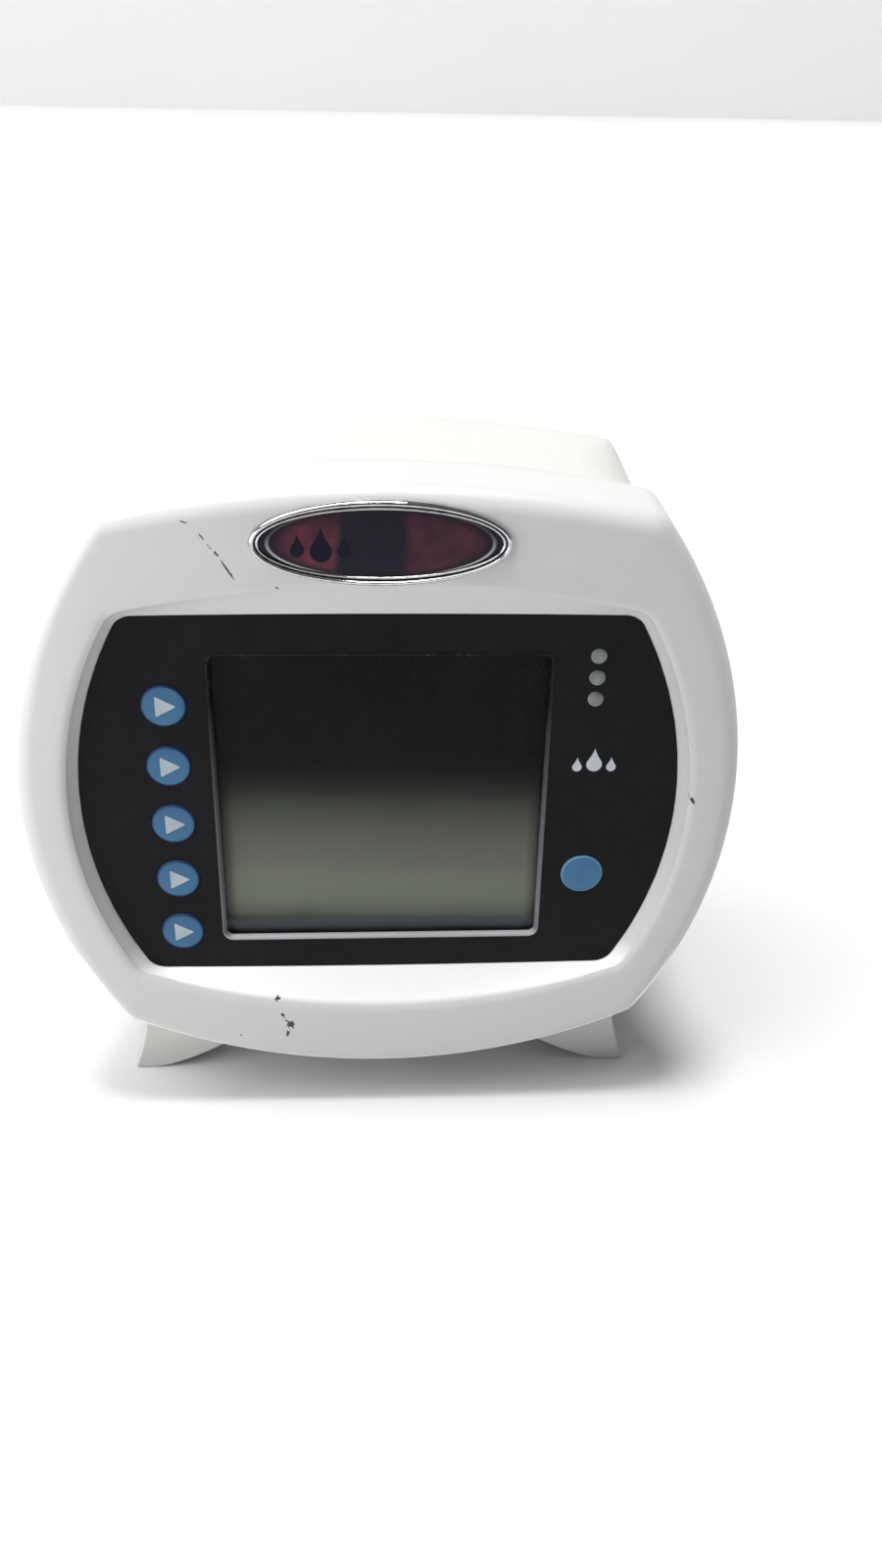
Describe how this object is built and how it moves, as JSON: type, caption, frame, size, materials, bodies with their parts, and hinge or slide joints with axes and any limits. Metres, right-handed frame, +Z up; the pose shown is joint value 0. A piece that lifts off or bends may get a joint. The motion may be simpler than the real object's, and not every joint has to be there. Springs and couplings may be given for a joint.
{
  "type": "infusion pump",
  "caption": "Bench-top feeding pump with a recessed display and keypad in a rounded two-part case, and a rotary tubing drive behind a see-through side door.",
  "frame": {"origin": "on the table, under the middle of the bounding box", "axes": "+Z up, +X to the viewer's right along the width, the display faces -Y"},
  "size_m": [0.1928, 0.1136, 0.1904],
  "materials": {
    "case_white": "fine satin texture",
    "gasket_grey": "soft",
    "steel": "brushed",
    "foot_rubber": "soft",
    "overlay_black": "semi-gloss",
    "inner_plastic": "plain",
    "window_clear": "clear",
    "lcd_green": "semi-gloss",
    "lcd_metal": "satin",
    "backlight_white": "plain",
    "board_green": "solder mask",
    "key_blue": "satin",
    "power_blue": "satin",
    "switch_black": "plain",
    "lamp_clear": "frosted",
    "badge_chrome": "polished",
    "badge_dark": "mirror gloss",
    "brass": "turned",
    "ribbon": "flexible",
    "battery_blue": "heat shrink",
    "motor_metal": "plain",
    "bronze": "sintered",
    "rotor_white": "acetal",
    "valve_orange": "acetal",
    "sensor_grey": "plain",
    "door_blue": "see-through",
    "socket_black": "plain"
  },
  "bodies": {
    "case": {"front_shell": "case_white", "rear_housing": "case_white", "legs": "case_white", "case_gasket": "gasket_grey", "case_screws": "steel", "foot_pads": "foot_rubber", "overlay_panel": "overlay_black", "keypad_frame": "inner_plastic", "display_window": "window_clear", "lcd_glass": "lcd_green", "lcd_frame": "lcd_metal", "lcd_backlight": "backlight_white", "display_board": "board_green", "keypad_mat": "inner_plastic", "key_switches": "switch_black", "status_lenses": "lamp_clear", "status_leds": "backlight_white", "board_screws": "steel", "badge_ring": "badge_chrome", "badge_lens": "badge_dark", "main_board": "board_green", "board_spacers": "brass", "processor_chips": "switch_black", "board_connectors": "inner_plastic", "ribbon_cable": "ribbon", "buzzer": "switch_black", "battery_tray": "inner_plastic", "battery_pack": "battery_blue", "battery_contacts": "brass", "battery_door": "case_white", "battery_door_screw": "steel", "pump_deck": "inner_plastic", "deck_screws": "steel", "drive_motor": "motor_metal", "gearbox": "motor_metal", "shaft_bush": "bronze", "valve_actuator": "motor_metal", "tube_sensor": "sensor_grey", "hinge_bracket": "case_white", "door_hinge_pin": "steel", "door_magnet": "motor_metal", "power_inlet": "socket_black", "nurse_call_jack": "socket_black", "clamp_insert": "brass"},
    "pump_door": {"pump_door": "door_blue", "door_keeper": "steel"},
    "rotor": {"rotor": "rotor_white", "roller_pins": "steel", "drive_shaft": "steel"},
    "valve": {"valve_stem": "valve_orange"},
    "power_key": {"power_key": "power_blue"},
    "soft_key_1": {"soft_key_1": "key_blue"},
    "soft_key_2": {"soft_key_2": "key_blue"},
    "soft_key_3": {"soft_key_3": "key_blue"},
    "soft_key_4": {"soft_key_4": "key_blue"},
    "soft_key_5": {"soft_key_5": "key_blue"},
    "roller_1": {"roller_1": "rotor_white"},
    "roller_2": {"roller_2": "rotor_white"},
    "roller_3": {"roller_3": "rotor_white"}
  },
  "joints": [
    {"name": "pump_door_hinge", "type": "hinge", "parent": "case", "child": "pump_door", "pos_m": [0.092, 0.0402, 0.104], "axis": [0, 0, 1], "range_deg": [0, 125]},
    {"name": "rotor_spin", "type": "hinge", "parent": "case", "child": "rotor", "pos_m": [0.07, 0.0133, 0.117], "axis": [1, 0, 0], "continuous": true},
    {"name": "valve_turn", "type": "hinge", "parent": "case", "child": "valve", "pos_m": [0.06, 0.0023, 0.078], "axis": [1, 0, 0], "range_deg": [0, 90]},
    {"name": "roller_1_spin", "type": "hinge", "parent": "rotor", "child": "roller_1", "pos_m": [0.07, 0.0133, 0.13], "axis": [1, 0, 0], "continuous": true},
    {"name": "roller_2_spin", "type": "hinge", "parent": "rotor", "child": "roller_2", "pos_m": [0.07, 0.00204, 0.1105], "axis": [1, 0, 0], "continuous": true},
    {"name": "roller_3_spin", "type": "hinge", "parent": "rotor", "child": "roller_3", "pos_m": [0.07, 0.02456, 0.1105], "axis": [1, 0, 0], "continuous": true},
    {"name": "soft_key_1_press", "type": "slide", "parent": "case", "child": "soft_key_1", "axis": [0, 1, 0], "range_m": [0, 0.0006], "stiffness_N_per_m": 2500},
    {"name": "soft_key_2_press", "type": "slide", "parent": "case", "child": "soft_key_2", "axis": [0, 1, 0], "range_m": [0, 0.0006], "stiffness_N_per_m": 2500},
    {"name": "soft_key_3_press", "type": "slide", "parent": "case", "child": "soft_key_3", "axis": [0, 1, 0], "range_m": [0, 0.0006], "stiffness_N_per_m": 2500},
    {"name": "soft_key_4_press", "type": "slide", "parent": "case", "child": "soft_key_4", "axis": [0, 1, 0], "range_m": [0, 0.0006], "stiffness_N_per_m": 2500},
    {"name": "soft_key_5_press", "type": "slide", "parent": "case", "child": "soft_key_5", "axis": [0, 1, 0], "range_m": [0, 0.0006], "stiffness_N_per_m": 2500},
    {"name": "power_key_press", "type": "slide", "parent": "case", "child": "power_key", "axis": [0, 1, 0], "range_m": [0, 0.0006], "stiffness_N_per_m": 2500}
  ]
}
